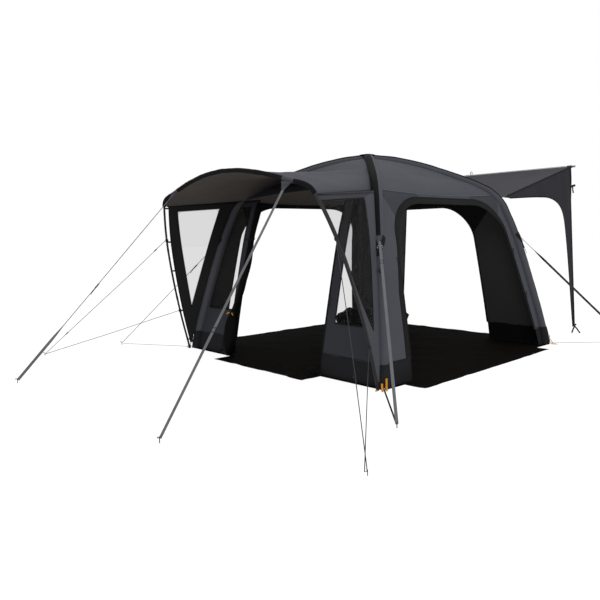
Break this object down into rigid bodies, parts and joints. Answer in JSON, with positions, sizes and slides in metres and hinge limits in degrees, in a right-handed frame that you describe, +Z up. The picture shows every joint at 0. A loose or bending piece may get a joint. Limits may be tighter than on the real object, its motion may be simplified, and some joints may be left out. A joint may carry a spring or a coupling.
{
  "type": "campervan awning",
  "caption": "Square inflatable drive-away awning with a poled front canopy, a tunnel to the vehicle, windows, rolled-back doors, storm straps and guy lines.",
  "frame": {"origin": "on the ground under the middle of the square cabin", "axes": "+Z up, +Y from the cabin towards the vehicle, -Y out through the front canopy, +X to the right of someone facing the vehicle from the front"},
  "size_m": [4.9603, 6.053, 2.233],
  "materials": {
    "air_tube": "satin",
    "slate_cloth": "matte",
    "shaded_cloth": "matte",
    "black_cloth": "matte",
    "window_film": "gloss",
    "black_steel": "satin",
    "bright_steel": "satin",
    "black_plastic": "satin",
    "grey_webbing": "matte",
    "orange_plastic": "satin",
    "guy_cord": "matte"
  },
  "bodies": {
    "tent": {"air_frame": "air_tube", "beam_sleeve_back_left": "slate_cloth", "beam_sleeve_back_right": "slate_cloth", "beam_sleeve_front_left": "slate_cloth", "beam_sleeve_front_right": "slate_cloth", "canopy_roof": "slate_cloth", "canopy_wing_left": "slate_cloth", "canopy_wing_right": "slate_cloth", "door_roll_back": "black_cloth", "door_roll_front": "black_cloth", "door_roll_left": "black_cloth", "front_panel_left": "slate_cloth", "front_panel_right": "slate_cloth", "front_window_left": "window_film", "front_window_right": "window_film", "groundsheet": "black_cloth", "guy_peg_left": "black_steel", "guy_peg_right": "black_steel", "guy_strap_left": "grey_webbing", "guy_strap_right": "grey_webbing", "hoop_cord_left": "guy_cord", "hoop_cord_right": "guy_cord", "inflation_valve": "black_plastic", "mud_wall_back_left": "black_cloth", "mud_wall_back_right": "black_cloth", "mud_wall_front_left": "black_cloth", "mud_wall_front_right": "black_cloth", "roof_back": "slate_cloth", "roof_front": "slate_cloth", "roof_hub_cap": "black_cloth", "roof_left": "slate_cloth", "roof_right": "slate_cloth", "storm_strap_back_left": "grey_webbing", "storm_strap_back_right": "grey_webbing", "storm_strap_front_left": "grey_webbing", "storm_strap_front_right": "grey_webbing", "tunnel_curtain_left": "shaded_cloth", "tunnel_curtain_right": "shaded_cloth", "tunnel_pole": "bright_steel", "tunnel_roof": "slate_cloth", "van_strip": "black_cloth", "wall_back": "slate_cloth", "wall_left": "slate_cloth", "wall_right": "slate_cloth", "wing_window_left": "window_film", "wing_window_right": "window_film"},
    "canopy_hoop": {"hoop_pole": "black_steel", "hoop_sleeve": "black_cloth", "cord_clip_right_upper": "black_plastic", "cord_clip_right_lower": "black_plastic", "cord_clip_left_upper": "black_plastic", "cord_clip_left_lower": "black_plastic"},
    "storm_buckle_front_left": {"storm_buckle_front_left": "black_plastic"},
    "storm_buckle_front_right": {"storm_buckle_front_right": "black_plastic"},
    "storm_buckle_back_right": {"storm_buckle_back_right": "black_plastic"},
    "storm_buckle_back_left": {"storm_buckle_back_left": "black_plastic"},
    "guy_buckle_right": {"guy_buckle_right": "black_plastic"},
    "guy_buckle_left": {"guy_buckle_left": "black_plastic"},
    "valve_cap": {"valve_cap": "orange_plastic"}
  },
  "joints": [
    {"name": "canopy_fold", "type": "hinge", "parent": "tent", "child": "canopy_hoop", "pos_m": [0, -1.545, 0.0165], "axis": [-1, 0, 0], "range_deg": [0, 17], "deforming": ["canopy_roof", "canopy_wing_right", "canopy_wing_left", "wing_window_right", "wing_window_left", "guy_strap_right", "guy_strap_left", "hoop_cord_right", "hoop_cord_left"]},
    {"name": "storm_buckle_front_left_slide", "type": "slide", "parent": "tent", "child": "storm_buckle_front_left", "axis": [-0.5921, -0.4246, -0.6849], "range_m": [-0.1, 0.5]},
    {"name": "storm_buckle_front_right_slide", "type": "slide", "parent": "tent", "child": "storm_buckle_front_right", "axis": [0.5296, -0.5296, -0.6626], "range_m": [-0.1, 0.5]},
    {"name": "storm_buckle_back_right_slide", "type": "slide", "parent": "tent", "child": "storm_buckle_back_right", "axis": [0.5136, 0.4965, -0.6997], "range_m": [-0.1, 0.5]},
    {"name": "storm_buckle_back_left_slide", "type": "slide", "parent": "tent", "child": "storm_buckle_back_left", "axis": [-0.5287, 0.495, -0.6896], "range_m": [-0.1, 0.5]},
    {"name": "guy_buckle_right_slide", "type": "slide", "parent": "tent", "child": "guy_buckle_right", "axis": [0.1795, -0.6445, -0.7432], "range_m": [-0.2, 0.5]},
    {"name": "guy_buckle_left_slide", "type": "slide", "parent": "tent", "child": "guy_buckle_left", "axis": [-0.0988, -0.6724, -0.7336], "range_m": [-0.2, 0.5]},
    {"name": "valve_cap_turn", "type": "hinge", "parent": "tent", "child": "valve_cap", "pos_m": [1.3075, -1.3075, 1.00396], "axis": [0.6739, -0.6739, 0.3028], "range_deg": [0, 450]}
  ]
}
